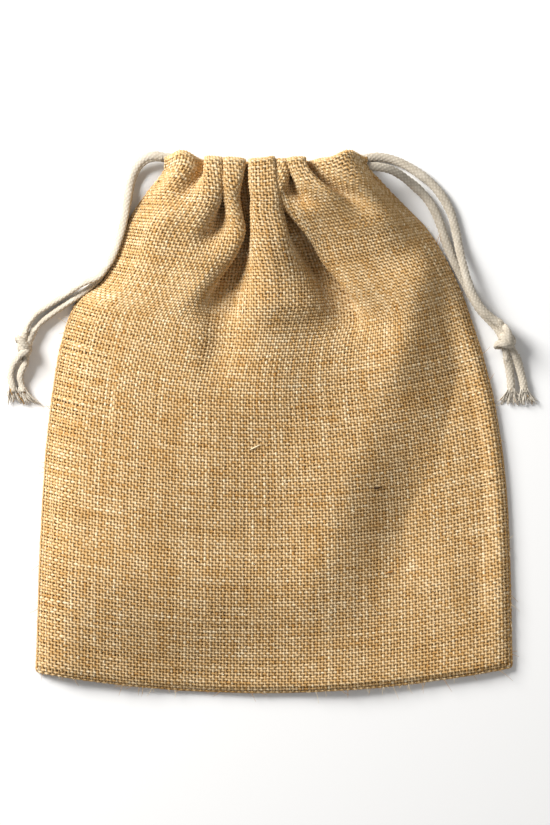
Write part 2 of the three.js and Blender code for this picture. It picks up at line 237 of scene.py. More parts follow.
# The front's height across the bag, from the left seam to the right one: full left, falling right.
CROWN = [(-1, 0), (-0.95, 0.42), (-0.86, 0.78), (-0.7, 0.98), (-0.5, 1.0), (-0.2, 0.88), (0.1, 0.68),
         (0.35, 0.5), (0.55, 0.42), (0.75, 0.43), (0.88, 0.36), (0.95, 0.22), (1, 0)]


def crown(across, above):
    """Height of the front over its seams, from -1 to 1 across, and mm above the bottom seam."""
    points = catmull(CROWN, np.linspace(0, 1, 200))
    return BAG_HEIGHT * smooth(-14, 85, above) * np.interp(across, points[:, 0], points[:, 1])


def near_line(x, y, start, end):
    """Distance from the line, and 0 to 1 along it."""
    ax, ay = end[0] - start[0], end[1] - start[1]
    along = ((x - start[0]) * ax + (y - start[1]) * ay) / (ax * ax + ay * ay)
    away = np.abs((x - start[0]) * ay - (y - start[1]) * ax) / math.hypot(ax, ay)
    return away, along


def soft_folds(x, y):
    """What the broad folds and the step at the right add to the front's height."""
    z = np.zeros_like(x)
    for start, end, half, rise in SOFT_FOLDS:
        away, along = near_line(x, y, start, end)
        ends = smooth(-0.35, 0.2, along) * smooth(1.35, 0.8, along)
        z += rise * ends * np.exp(-((away / half) ** 2))
    line = np.array(sorted(STEP_LINE, key=lambda p: p[1]))
    past = x - np.interp(y, line[:, 1], line[:, 0])
    step = smooth(-22, 44, past) * smooth(150, 100, y) * smooth(-175, -60, y)
    return z - STEP_DROP * step


def first_shape(side, rng):
    """The panel's crossings before settling, in mm, as rows from the bottom seam to the mouth's fold."""
    rows, columns = WEFTS + 1, WARPS + 1
    s = np.arange(columns) * (PITCH / MM)
    t = np.linspace(0, 1, rows)
    depth = (1 - t) * WEFTS * PITCH / MM
    left, right = catmull(LEFT_EDGE, t), catmull(RIGHT_EDGE, t)
    creases, widths, runs = ((FRONT_CREASES, FRONT_WIDTHS, FRONT_RUNS) if side == "front" else
                             (BACK_CREASES, BACK_WIDTHS, {}))
    points = np.zeros((rows, columns, 3))
    for j in range(rows):
        x, z = gathered_row(creases, widths, runs, s, depth[j], left[j, 0], right[j, 0])
        f = (x - left[j, 0]) / (right[j, 0] - left[j, 0])
        points[j] = np.column_stack([x, left[j, 1] * (1 - f) + right[j, 1] * f,
                                     HIGHEST_FOLD * np.tanh(z / HIGHEST_FOLD) * smooth(140, 42, depth[j])])
    x, y, z = points[..., 0], points[..., 1], points[..., 2]
    across = 2 * (x - left[:, :1]) / (right[:, :1] - left[:, :1]) - 1
    t, depth = t[:, None], depth[:, None]
    middle = BOTTOM_MIDDLE + (MOUTH_TOP - BOTTOM_MIDDLE) * t
    bow = (1 - across**2) * smooth(1, 0.75, t) + (1 - np.abs(across)) * smooth(0.75, 1, t)
    y += (middle - (left[:, 1:] + right[:, 1:]) / 2) * bow
    ear = smooth(0.62, 0.82, np.abs(across)) * smooth(1.0, 0.84, np.abs(across)) * smooth(35, 0, depth)
    y += 5.0 * ear
    inside = smooth(0, 3.6, np.minimum(x - left[:, :1], right[:, :1] - x))
    inside = np.minimum(inside, smooth(0, 4.2, WEFTS * PITCH / MM - depth))
    if side == "front":
        y += (0.24 * np.minimum(z, 16) - 2.2) * smooth(16, 0, depth) * smooth(1, 0.75, np.abs(across))
        y += 0.5 * soft_noise(rng, z.shape, (60, 9)) * smooth(30, 0, depth)
        rim = np.abs(across) ** 5
        z += 2.5 + 18.0 * (smooth(39, 4, depth) * rim + smooth(82, 4, depth) * (1 - rim)) + 2.1 * inside
        body = smooth(25, 125, depth)
        z += body * crown(across, y - BOTTOM_MIDDLE)
        z += soft_folds(x, y) * smooth(1, 0.86, np.abs(across)) * smooth(20, 45, depth)
        z += 0.6 * soft_noise(rng, z.shape, (26, 26)) * smooth(1, 0.85, np.abs(across)) * body
        np.copyto(z, np.where(z > 34, 34 + 4 * np.tanh((z - 34) / 4), z))
    else:
        z *= 0.42 * smooth(130, 40, depth) * smooth(22, 44, depth)
        z += 1.5
    return points


def neighbours(points, shift):
    """The two overlapping parts of the grid whose points are shift apart."""
    return (tuple(slice(max(0, -d), points.shape[k] - max(0, d)) for k, d in enumerate(shift)),
            tuple(slice(max(0, d), points.shape[k] - max(0, -d)) for k, d in enumerate(shift)))


def pull(points, shift, rest, stiff, squeeze, free, moved, count):
    """Adds to moved the corrections that bring neighbours shift apart back to their distance."""
    a, b = neighbours(points, shift)
    gap = points[b] - points[a]
    length = np.linalg.norm(gap, axis=-1, keepdims=True)
    error = (length - rest) / np.maximum(length, 1e-9)
    error = np.where(error < 0, squeeze, stiff) * error
    total = np.maximum(free[a] + free[b], 1e-9)
    moved[a] += error * gap * free[a] / total
    moved[b] -= error * gap * free[b] / total
    count[a] += stiff
    count[b] += stiff


def relax(points, free, floor, rounds):
    """Evens the sheet out in rounds: links that barely stretch, a little stiffness and a steady sinking.

    It starts from first_shape and keeps its folds. It is not a physical simulation.
    """
    step = PITCH / MM
    links = []
    for shift, length, stiff, squeeze in (((0, 1), 1, 1, 0.5), ((1, 0), 1, 1, 0.35),
                                          ((1, 1), 1.41, 0.15, 0.08), ((1, -1), 1.41, 0.15, 0.08),
                                          ((0, 2), 2, 0.15, 0.15), ((2, 0), 2, 0.2, 0.2)):
        a, b = neighbours(points, shift)
        asked = np.linalg.norm(points[b] - points[a], axis=-1, keepdims=True)
        links.append((shift, np.clip(asked, 0.6 * length * step, 1.07 * length * step), stiff, squeeze))
    free = free[..., None]
    for _ in range(rounds):
        moved = np.zeros_like(points)
        count = np.zeros(points.shape[:2] + (1,))
        for shift, rest, stiff, squeeze in links:
            pull(points, shift, rest, stiff, squeeze, free, moved, count)
        points = points + SETTLE_HASTE * moved / np.maximum(count, 1)
        points[..., 2] -= SETTLE_WEIGHT * free[..., 0]
        points[..., 2] = np.where(free[..., 0] > 0, np.maximum(points[..., 2], floor), points[..., 2])
    return points


def cloth(side, rng):
    """The outer layer of one panel, from the bottom seam to the mouth's fold."""
    points = first_shape(side, rng)
    rows, columns = points.shape[:2]
    depth = np.linspace(WEFTS * PITCH / MM, 0, rows)[:, None]
    free = np.ones((rows, columns))
    free[0] = free[-1] = 0
    free[:, 0] = free[:, -1] = 0
    floor = FRONT_FLOOR + CORD_FLOOR * smooth(24, 13, depth) if side == "front" else BACK_FLOOR
    return relax(points, free, floor, SETTLE_ROUNDS)


def turned_in(outer, side):
    """The outer layer with the mouth's fold after it, the hem inside, and the hem's first column."""
    edge = outer[-1]
    channel = (outer[-1, :, 2] - FRONT_HEM_Z) if side == "front" else (BACK_HEM_Z - outer[-1, :, 2])
    down = -1 if side == "front" else 1
    inside = edge[:, 2] + down * channel * (0.9 if side == "front" else 1)
    turn = np.linspace(0, np.pi, FOLD[side] + 1)[1:, None]
    fold = np.repeat(edge[None], FOLD[side], axis=0)
    fold[..., 1] += FOLD_BULGE * np.sin(turn)
    fold[..., 2] = edge[:, 2] + (inside - edge[:, 2]) * (1 - np.cos(turn)) / 2
    hem = outer[-1:-HEM - 2:-1].copy()
    hem[..., 2] = inside + 0.2 * (hem[..., 2] - edge[:, 2])
    keep = np.where(np.abs(edge[:, 0] - MOUTH_X) < MOUTH_HALF - EAR)[0]
    return np.concatenate([outer, fold]), hem[:, keep[0]:keep[-1] + 1], keep[0]


# ---------------------------------------------------------------- meshes

def mesh_object(name, vertices, faces, tint=None, uv=None):
    """A mesh from arrays of corners in metres and faces of four corners, shaded smooth."""
    mesh = bpy.data.meshes.new(name)
    faces = np.asarray(faces, np.int32)
    mesh.vertices.add(len(vertices))
    mesh.vertices.foreach_set("co", np.asarray(vertices, np.float32).ravel())
    mesh.loops.add(faces.size)
    mesh.loops.foreach_set("vertex_index", faces.ravel())
    mesh.polygons.add(len(faces))
    mesh.polygons.foreach_set("loop_start", np.arange(0, faces.size, 4, dtype=np.int32))
    mesh.polygons.foreach_set("use_smooth", np.ones(len(faces), bool))
    mesh.update(calc_edges=True)
    if tint is not None:
        mesh.attributes.new("tint", "FLOAT", "POINT").data.foreach_set("value", tint.astype(np.float32))
    if uv is not None:
        layer = mesh.uv_layers.new(name="yarn")
        layer.data.foreach_set("uv", uv[faces.ravel()].astype(np.float32).ravel())
    ob = bpy.data.objects.new(name, mesh)
    bpy.context.scene.collection.objects.link(ob)
    return ob


def tubes(centres, lift, wide, thick, sides=4, relief=0):
    """Closed tubes along rows of centres, in mm: lift is the direction of each ring's short axis."""
    count, length = centres.shape[:2]
    ahead = unit(np.gradient(centres, axis=1))
    across = unit(np.cross(ahead, lift))
    lift = np.cross(across, ahead)
    turn = 2 * np.pi * np.arange(sides) / sides
    ring = (across[:, :, None] * (np.cos(turn)[:, None] * (wide[:, :, None, None] / 2 + relief))
            + lift[:, :, None] * (np.sin(turn)[:, None] * (thick[:, :, None, None] / 2 + relief)))
    vertices = (centres[:, :, None] + ring).reshape(-1, 3)
    index = np.arange(count * length * sides).reshape(count, length, sides)
    a, b = index[:, :-1], index[:, 1:]
    faces = [np.stack([a, np.roll(a, -1, 2), np.roll(b, -1, 2), b], -1).reshape(-1, 4)]
    for k in range(1, sides - 1, 2):
        faces.append(index[:, 0][:, [0, min(k + 2, sides - 1), k + 1, k]] if k + 2 < sides + 1 else [])
        faces.append(index[:, -1][:, [0, k, k + 1, min(k + 2, sides - 1)]])
    return vertices, np.concatenate([f for f in faces if len(f)])


def joined(parts):
    """Several (vertices, faces, tint, uv) as one."""
    start = np.cumsum([0] + [len(part[0]) for part in parts[:-1]])
    return (np.concatenate([p[0] for p in parts]), np.concatenate([p[1] + n for p, n in zip(parts, start)]),
            np.concatenate([p[2] for p in parts]), np.concatenate([p[3] for p in parts]))


# ---------------------------------------------------------------- the weave

def normals(points):
    return unit(np.cross(np.gradient(points, axis=1), np.gradient(points, axis=0)))


def weave(points, rng):
    """The warp and weft yarns of a grid: (centres, lift, girth, tint), with one row for each yarn."""
    n = normals(points)
    rows, columns = points.shape[:2]
    over = 1 - 2.0 * ((np.arange(rows)[:, None] + np.arange(columns)[None]) % 2)
    made = {}
    for kind in ("warp", "weft"):
        swap = (lambda a: a) if kind == "weft" else (lambda a: a.swapaxes(0, 1))
        p, m, up = swap(points), swap(n), swap(over) * (-1 if kind == "weft" else 1)
        shape = p.shape[:2]
        beside = np.gradient(p, axis=0)
        drift = 0.07 * soft_noise(rng, shape, (1, 25)) + 0.05 * soft_noise(rng, shape, (1, 4))
        drift[0] = drift[-1] = 0
        centres = p + beside * drift[..., None] + m * (0.40 * up)[..., None]
        girth = 1 + 0.07 * soft_noise(rng, shape, (1, 12)) + 0.06 * soft_noise(rng, shape, (1, 2))
        girth *= (1 + 0.05 * rng.standard_normal(shape[0]))[:, None]
        girth += 0.35 * smooth(2.5, 3.2, soft_noise(rng, shape, (1, 10)))
        girth = np.clip(girth, 0.7, 1.6)
        # Painted highlight and shade: each yarn is lighter where it crosses over the other yarns and darker
        # where it passes under them. The other terms are the yarn's own random tone.
        tint = 0.48 + 0.17 * up + 0.035 * rng.standard_normal(shape[0])[:, None]
        tint += 0.06 * rng.standard_normal(shape) + 0.05 * soft_noise(rng, shape, (1, 8))
        made[kind] = centres, m, girth, tint
    return made


def yarns(woven, kind, lines, stretch):
    """Tubes for the yarns numbered in lines, over the crossings in stretch."""
    centres, lift, girth, tint = (a[slice(*lines), slice(*stretch)] for a in woven[kind])
    girth = girth.copy()
    girth[:, [0, -1]] *= 0.45
    vertices, faces = tubes(centres, lift, YARN_WIDE * girth, YARN_THICK * girth)
    vertices[:, 2] = np.maximum(vertices[:, 2], TABLE_GAP)
    number = (lines[0] + np.arange(centres.shape[0]))[:, None, None] + np.arange(4) / 4
    run = stretch[0] + np.arange(centres.shape[1])[None, :, None] + np.zeros(4)
    uv = np.stack(np.broadcast_arrays(number, run), -1).reshape(-1, 2)
    return vertices * MM, faces, np.repeat(tint.ravel(), 4), uv


# ---------------------------------------------------------------- cords

def cord_lines(points, count):
    """Centres, and a lift for each, along one cord's route."""
    centres = catmull(points, np.linspace(0, 1, count))[None]
    ahead = unit(np.gradient(centres, axis=1))
    lift = np.zeros_like(centres)
    lift[..., 2] = 1
    flat = np.abs(ahead[..., 2:]) > 0.8
    lift = np.where(flat, np.array([0, 1.0, 0]), lift)
    return centres, lift


def braid(points, wide=CORD_WIDE, thick=CORD_THICK, grain=0.4, sides=28, rolled=(0, 0), lift=None):
    """A flat braid along a route in mm. rolled turns it on its edge by that many radians at each end."""
    points = np.asarray(points, float)
    length = np.linalg.norm(np.diff(points, axis=0), axis=1).sum()
    count = int(length / grain) + 2
    centres, up = cord_lines(points, count)
    if lift is not None:
        up = catmull(lift, np.linspace(0, 1, count))[None]
    roll = np.linspace(rolled[0], rolled[1], count)[None, :, None]
    across = unit(np.cross(unit(np.gradient(centres, axis=1)), up))
    up = unit(up * np.cos(roll) + across * np.sin(roll))
    turn = np.arange(sides) / sides
    run = np.linspace(0, length, count)[:, None]
    one, other = 6 * turn + run / 3.2, 6 * turn - run / 3.2
    top = np.sin(np.pi * (one + other)) * np.sin(np.pi * (one - other)) > 0
    high = np.where(top, np.abs(np.cos(np.pi * one)), np.abs(np.cos(np.pi * other)))
    relief = (0.42 * high - 0.26)[None, :, :, None]
    swell = 1 + 0.04 * soft_noise(np.random.default_rng(SEED), (1, count), (1, 14))
    vertices, faces = tubes(centres, up, wide * swell, thick * swell, sides, relief)
    vertices[:, 2] = np.maximum(vertices[:, 2], TABLE_GAP)
    # Painted highlight and shade: the braid's raised strands are coloured lighter and the grooves between
    # them darker, on top of the relief.
    tint = 0.62 + 0.3 * (high - 0.6) + 0.05 * soft_noise(np.random.default_rng(SEED), high.shape, (9, 3))
    uv = np.stack(np.broadcast_arrays(turn * 6, run), -1)
    return vertices * MM, faces, tint.ravel(), uv.reshape(-1, 2)


LEFT_EXIT = (-70.75, 168.72)
RIGHT_EXIT_X, RIGHT_BACK_Y, RIGHT_FRONT_Y = 59.35, 168.72, 161.72
LEFT_FRONT = [
    (*LEFT_EXIT, FRONT_CORD), (-76, 169.3, 17.8), (-81.8, 168, 17), (-86.6, 163.8, 15.2),
    (-90, 157.4, 12.8), (-92.2, 149.8, 10.4), (-93.6, 141.5, 8.6), (-95, 133, OVER),
    (-97.4, 122, OVER), (-101.2, 110, OVER),
    (-106.2, 100, OVER), (-112.6, 92.4, 7.6), (-119, 89.8, 6.8), (-126.4, 86, 4.6), (-134.6, 80.6, LIE),
    (-145, 74, LIE), (-152.4, 68.6, 2.9), (-157.2, 62.4, 3.8), (-159, 56.4, 4.8)]
LEFT_BACK = [
    (*LEFT_EXIT, BACK_HIGH), (-76, 169, 6.7), (-81.8, 167.4, 5.4), (-86.6, 163.2, 3.8), (-90, 156.8, 2.8),
    (-92.2, 149.4, LIE), (-93.6, 141.3, LIE), (-95, 132.8, LIE), (-97.4, 121.8, LIE), (-101.2, 109.8, LIE),
    (-106.2, 99.4, LIE), (-113, 90.4, LIE), (-121, 83.6, LIE), (-130.2, 77.2, LIE), (-141.2, 69.8, LIE),
    (-149.6, 63, 2.9), (-154, 57.4, 3.8)]
RIGHT_BACK = [
    (RIGHT_EXIT_X, RIGHT_BACK_Y, BACK_LOW), (66.6, 169.4, 3), (75, 168, 2.7), (83.4, 164.6, LIE),
    (91.6, 159.6, LIE), (100, 153, LIE), (107.6, 144, LIE), (113.2, 133.2, LIE), (116.2, 121.6, 2.8),
    (118.2, 110.8, 4.6), (120.8, 99.8, 6.8), (124, 88.4, 7.7), (128.4, 78.2, OVER), (134, 70.4, OVER),
    (140.2, 65.6, 7.6), (144.6, 62.6, 7.4)]
RIGHT_FRONT = [
    (RIGHT_EXIT_X, RIGHT_FRONT_Y, FRONT_CORD), (65.4, 162.2, 17.7), (72.6, 161, 16), (79.4, 158, 12.6),
    (85.4, 154, 8.6), (91.2, 149.4, 5), (96.8, 143.8, 3), (102, 136.2, LIE), (106.4, 126, LIE),
    (110, 114.6, LIE), (115, 102.6, LIE), (121.2, 90, LIE), (128.2, 77, LIE), (134, 69.4, LIE),
    (139.4, 63.6, LIE), (142.6, 59.6, 3.2)]
TAILS = {
    "left_outer": [(-163.2, 41.4, 4), (-166.8, 37, 3), (-168.6, 31, LIE), (-168, 25.4, LIE),
                   (-167.2, 21.8, LIE), (-167.2, 19.4, LIE)],
    "left_inner": [(-158.8, 38, 4.4), (-161, 33.8, 4), (-162.4, 29.4, 3.4), (-161.8, 24.8, LIE),
                   (-161, 21.6, LIE), (-161, 19.4, LIE)],
    "right_inner": [(148.6, 41.6, 4.4), (150, 36.4, 3.2), (150.8, 30.6, LIE), (151.4, 24.6, LIE),
                    (151.4, 21.4, LIE), (151.4, 18.8, LIE)],
    "right_outer": [(154.2, 42.6, 4.6), (156.2, 37, 3.4), (157.8, 31, LIE), (159.2, 25.2, LIE),
                    (159.8, 21.4, LIE), (159.8, 18.8, LIE)],
}
LEGS = {"left_front": (LEFT_FRONT, (0.2, 1.25)), "left_back": (LEFT_BACK, (0.2, 1.25)),
        "right_front": (RIGHT_FRONT, (0.1, 0.1)), "right_back": (RIGHT_BACK, (0.1, 0))}


def wrap(centre, turn, a0, slant, wide, high, band):
    """One turn of the cord round a knot: a ring that slants along the knot's length."""
    phase = np.linspace(-0.5 * np.pi, 1.5 * np.pi, 25)
    along = a0 + slant * np.cos(phase) + 0.8 * np.sin(2 * phase)
    across = wide * np.cos(phase)
    z = high * np.sin(phase)
    cosine, sine = math.cos(turn), math.sin(turn)
    x = centre[0] + across * cosine - along * sine
    y = centre[1] - across * sine - along * cosine
    points = np.column_stack([x, y, np.maximum(centre[2] + z, 1.7)])
    outward = np.column_stack([np.cos(phase) * cosine, -np.cos(phase) * sine, np.sin(phase) * wide / high])
    return braid(points, band, 2.9, 0.35, 22, lift=outward)


def knot(centre, turn, wide, high, legs, tails):
    """An overhand knot of both cord ends: two slanting turns round the strands that run through it."""
    parts = [wrap(centre, turn, -3.4, 3.2, wide, high, 4.7),
             wrap(centre, turn, 3.2, -2.2, wide * 0.95, high * 0.92, 4.7)]
    parts.append(wrap(centre, turn, 0.4, 1.2, wide * 0.8, high * 0.78, 6.0))
    for leg, tail in zip(legs, tails):
        start, end = np.array(leg[-1]), np.array(tail[0])
        before, after = np.array(leg[-2]), np.array(tail[1])
        middle = (start + end) / 2 * 0.6 + np.array(centre) * 0.4
        route = [start + 0.3 * (before - start), start, middle, end, end + 0.3 * (after - end)]
        parts.append(braid(route, 4.6, 4.0))
    return joined(parts)


def fray(rng, end, lean, count=46):
    """The cord's own strands, let go at its end and fanned over the table."""
    strands, tints = [], []
    for _ in range(count):
        start = np.array(end) + rng.uniform((-2.2, 1.5, -1.3), (2.2, 3, 1.3))
        spread = (start[0] - end[0]) * 0.2 + rng.normal(0, 0.13) + lean
        reach = rng.uniform(5.5, 10.5)
        curl = rng.normal(0, 1.5)
        t = np.linspace(0, 1, 9)
        x = start[0] + spread * reach * t**1.3 + curl * np.sin(2.6 * t) * t
        y = start[1] - reach * t
        z = start[2] + (rng.uniform(0.5, 3.2) - start[2]) * smooth(0, 1, t) + 0.25 * np.sin(6 * t + curl)
        strands.append(np.column_stack([x, y, np.maximum(z, 0.4)]))
        tints.append(-0.2 if rng.random() < 0.1 else rng.uniform(0.75, 1.05))
    centres = np.array(strands)
    lift = np.zeros_like(centres)
    lift[..., 2] = 1
    girth = np.broadcast_to(np.linspace(0.85, 0.45, 9), centres.shape[:2])
    vertices, faces = tubes(centres, lift, girth, girth)
    tint = np.repeat(np.array(tints), 9 * 4)
    uv = np.stack([tint, vertices[:, 1]], -1)
    return vertices * MM, faces, tint, uv


def hem_run(line, z, start, end):
    """The route of a cord in a hem, between two distances from the mouth's middle."""
    x = MOUTH_X + np.linspace(start, end, 9)
    dip = 2.6 * np.exp(-((np.abs(x - MOUTH_X) - 30) / 12) ** 2)
    return np.column_stack([x, line + mouth_rise(x) - dip, np.full(9, z)])


def left_cord_bight():
    """The left cord's turn inside the right ear, from the front hem down to the back one."""
    x = MOUTH_X + MOUTH_HALF - EAR + 0.3
    turn = np.linspace(0, np.pi, 9)
    bend = (FRONT_CORD - BACK_HIGH) / 2
    out = np.concatenate([[x], x + 2 + bend * np.sin(turn), [x]])
    z = np.concatenate([[FRONT_CORD], (FRONT_CORD + BACK_HIGH) / 2 + bend * np.cos(turn), [BACK_HIGH]])
    return np.column_stack([out, UPPER_LINE + mouth_rise(out), z])


def right_cord_bight():
    """The right cord's turn inside the left ear, from its lower line in front to under the left cord."""
    x = MOUTH_X - MOUTH_HALF + EAR - 0.3
    low, high = LOWER_LINE + mouth_rise(x), UPPER_LINE + mouth_rise(x)
    return [(x, low, FRONT_CORD), (x - 3.5, low + 0.4, FRONT_CORD - 0.4),
            (x - 7, low + 0.9, FRONT_CORD - 3.4), (x - 8.2, low + 1.2, FRONT_CORD - 7.6),
            (x - 7.4, low + 1.8, BACK_LOW + 3), (x - 5.4, high - 3.6, BACK_LOW + 0.6),
            (x - 3, high - 0.6, BACK_LOW), (x, high, BACK_LOW)]


def stitches(line, lift, pitch=3.2, girth=0.55):
    """Running stitches along a dense line, each a short thread that rises over the cloth."""
    run = np.concatenate([[0], np.cumsum(np.linalg.norm(np.diff(line, axis=0), axis=1))])
    starts = np.arange(0.4, run[-1] - pitch, pitch)
    at = starts[:, None] + np.linspace(0, 0.86, 7) * pitch
    centres = np.stack([np.interp(at, run, line[:, k]) for k in range(3)], -1)
    up = unit(np.stack([np.interp(at, run, lift[:, k]) for k in range(3)], -1))
    centres = centres + up * (0.75 * np.sin(np.linspace(0, np.pi, 7)) - 0.1)[None, :, None]
    size = np.full(centres.shape[:2], girth)
    vertices, faces = tubes(centres, up, size, size)
    tint = np.repeat(np.linspace(0.4, 0.7, len(starts)), 7 * 4)
    uv = np.stack([tint, vertices[:, 0]], -1)
    return vertices * MM, faces, tint, uv


def hairs(rng, points, count):
    """Loose jute fibres that stand off the cloth, most of them along its edges."""
    n = normals(points)
    rows, columns = points.shape[:2]
    lines, tints = [], []
    for _ in range(count):
        kind = rng.random()
        j, i = rng.integers(2, rows - 14), rng.integers(1, columns - 1)
        if kind < 0.3:
            j = 0
        elif kind < 0.6:
            i = 0 if abs(points[0, 0, 0]) > abs(points[0, -1, 0]) else columns - 1
        reach, turn = rng.uniform(1.5, 5.5), rng.uniform(0, 2 * np.pi)
        away = unit(points[j, i, :2] - np.array([0, -10]))
        on_edge = kind < 0.6
        flat = np.array([math.cos(turn), math.sin(turn)]) + (1.1 * away if on_edge else 0)
        t = np.linspace(0, 1, 8)[:, None]
        bend = rng.normal(0, 0.35, 2)
        line = np.repeat((points[j, i] + n[j, i] * 0.6)[None], 8, axis=0)
        line[:, :2] += (flat * t + bend * t * t) * reach * (0.8 if on_edge else 1)
        line[:, 2] += (rng.uniform(0.1, 0.5) if on_edge else 0.5) * np.sin(2.4 * t[:, 0]) * reach * 0.5
        lines.append(line)
        tints.append(rng.choice([0.25, 0.45, 0.75, 0.9]))
    centres = np.array(lines)
    centres[..., 2] = np.maximum(centres[..., 2], 0.3)
    lift = np.zeros_like(centres)
    lift[..., 2] = 1
    girth = np.broadcast_to(np.linspace(0.26, 0.12, 8), centres.shape[:2])
    vertices, faces = tubes(centres, lift, girth, girth)
    tint = np.repeat(np.array(tints), 8 * 4)
    return vertices * MM, faces, tint, np.stack([tint, vertices[:, 0]], -1)


# ---------------------------------------------------------------- materials

def material(name, rough, **sockets):
    m = bpy.data.materials.new(name)
    m.use_nodes = True
    nodes, links = m.node_tree.nodes, m.node_tree.links
    shader = nodes["Principled BSDF"]
    shader.inputs["Roughness"].default_value = rough
    for socket, value in sockets.items():
        shader.inputs[socket.replace("_", " ")].default_value = value
    return m, nodes, links, shader


def fibrous(name, rough, scale, amount, stops, bump, **sockets):
    """A material whose colour comes from each yarn's tint and from fibres that run along it; for the
    hessian and the cords the tint also holds painted highlight and shade.
    """
    m, nodes, links, shader = material(name, rough, **sockets)
    tint = nodes.new("ShaderNodeAttribute")
    tint.attribute_name = "tint"
    uv = nodes.new("ShaderNodeUVMap")
    uv.uv_map = "yarn"
    stretch = nodes.new("ShaderNodeMapping")
    stretch.inputs["Scale"].default_value = scale
    stretch.inputs["Rotation"].default_value = (0, 0, 0.35)
    links.new(uv.outputs["UV"], stretch.inputs["Vector"])
    fibre = nodes.new("ShaderNodeTexNoise")
    fibre.inputs["Scale"].default_value = 1.6
    fibre.inputs["Detail"].default_value = 3
    links.new(stretch.outputs["Vector"], fibre.inputs["Vector"])
    add = nodes.new("ShaderNodeMath")
    add.operation = "MULTIPLY_ADD"
    add.inputs[1].default_value = amount
    links.new(fibre.outputs["Fac"], add.inputs[0])
    links.new(tint.outputs["Fac"], add.inputs[2])
    ramp = nodes.new("ShaderNodeValToRGB")
    while len(ramp.color_ramp.elements) < len(stops):
        ramp.color_ramp.elements.new(0.5)
    for element, (at, colour) in zip(ramp.color_ramp.elements, stops):
        element.position = at
        element.color = (*colour, 1)
    links.new(add.outputs[0], ramp.inputs["Fac"])
    links.new(ramp.outputs["Color"], shader.inputs["Base Color"])
    relief = nodes.new("ShaderNodeBump")
    relief.inputs["Strength"].default_value = bump
    relief.inputs["Distance"].default_value = 0.0003
    links.new(fibre.outputs["Fac"], relief.inputs["Height"])
    links.new(relief.outputs["Normal"], shader.inputs["Normal"])
    return m


def finishes():
    # The parts of the yarns that pass under take the hessian's darker, warmer stops as painted shade, and
    # the crossings on top take its pale stops as painted highlight. Dark straws and loose fibres use the
    # lowest stops as their own colour.
    hessian = fibrous("hessian", 0.8, (9.0, 1.1, 1.0), 0.3, [
        (0.0, (0.05, 0.02, 0.006)), (0.12, (0.34, 0.15, 0.035)), (0.35, (0.46, 0.22, 0.052)),
        (0.60, (0.53, 0.32, 0.12)), (0.80, (0.68, 0.485, 0.26)), (1.0, (0.85, 0.71, 0.48))],
        0.4, Specular_IOR_Level=0.25)
    # The cord's darker grey-brown stop colours the braid's grooves as painted shade. The lowest,
    # golden-brown stop is the own colour of the few golden strands in the frays.
    cotton = fibrous("cotton_cord", 0.85, (3.0, 2.0, 1.0), 0.2, [
        (0.0, (0.42, 0.23, 0.07)), (0.3, (0.34, 0.285, 0.21)), (0.7, (0.55, 0.49, 0.40)),
        (1.0, (0.68, 0.62, 0.53))],
        0.3, Specular_IOR_Level=0.2)
    thread = fibrous("sewing_thread", 0.7, (6.0, 1.0, 1.0), 0.3, [
        (0.0, (0.5, 0.36, 0.2)), (1.0, (0.84, 0.72, 0.52))], 0.2, Specular_IOR_Level=0.3)
    return {"hessian": hessian, "cotton_cord": cotton, "sewing_thread": thread}


# ---------------------------------------------------------------- stage

def camera():
    data = bpy.data.cameras.new("camera")
    ob = bpy.data.objects.new("camera", data)
    bpy.context.scene.collection.objects.link(ob)
    distance, tall = 2.4, 0.528
    data.sensor_width = 36
    data.lens = data.sensor_width / 2 / (tall / 2 / distance)
    ob.location = (0.6 * MM, 6.1 * MM, distance)
    bpy.context.scene.camera = ob


def area_light(name, spot, size, watts, colour):
    data = bpy.data.lights.new(name, "AREA")
    data.size = size
    data.energy = watts
    data.color = colour
    ob = bpy.data.objects.new(name, data)
    ob.location = spot
    ob.rotation_euler = (-Vector(spot)).to_track_quat("-Z", "Y").to_euler()
    bpy.context.scene.collection.objects.link(ob)


def stage():
    m, _, _, shader = material("floor", 0.9, Specular_IOR_Level=0.1)
    shader.inputs["Base Color"].default_value = (0.93, 0.93, 0.93, 1)
    reach = 6
    corners = [(-reach, -reach, 0), (reach, -reach, 0), (reach, reach, 0), (-reach, reach, 0)]
    floor = mesh_object("floor", corners, [[0, 1, 2, 3]])
    floor.data.materials.append(m)
    world = bpy.data.worlds.new("studio")
    world.use_nodes = True
    world.node_tree.nodes["Background"].inputs["Color"].default_value = (1, 1, 1, 1)
    world.node_tree.nodes["Background"].inputs["Strength"].default_value = 0.25
    bpy.context.scene.world = world
    area_light("key", (-1.3, 1.0, 0.9), 0.85, 68, (1, 0.99, 0.97))
    area_light("fill", (1.1, -0.3, 1.2), 1.2, 3, (1, 0.98, 0.95))
    bpy.context.scene.view_settings.view_transform = "Standard"


# ---------------------------------------------------------------- assembly

LEFT_BLEND = ("pouch", "left_mouth_end", (-0.0057, 0.165, 0), (-0.0423, 0.1967, 0))
RIGHT_BLEND = ("pouch", "right_mouth_end", (-0.0057, 0.165, 0), (0.031, 0.1967, 0))
BLENDS = {"left": LEFT_BLEND, "right": RIGHT_BLEND}
TAIL_ROLLS = {"left": (0.9, 0.6), "right": (0.1, 0.3)}
LEANS = {"left_outer": 0.25, "left_inner": 0.55, "right_inner": -0.05, "right_outer": 0.2}


def place(name, made, slot, body=None, blend=None, nodes=()):
    """Makes a piece from its arrays, with its finish, body and the CAD nodes it stands for."""
    ob = mesh_object(name, *made)
    ob.data.materials.append(FINISH[slot])
    if blend:
        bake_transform(ob)
    else:
        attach(ob, body)
    if nodes:
        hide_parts(*nodes)
    return ob


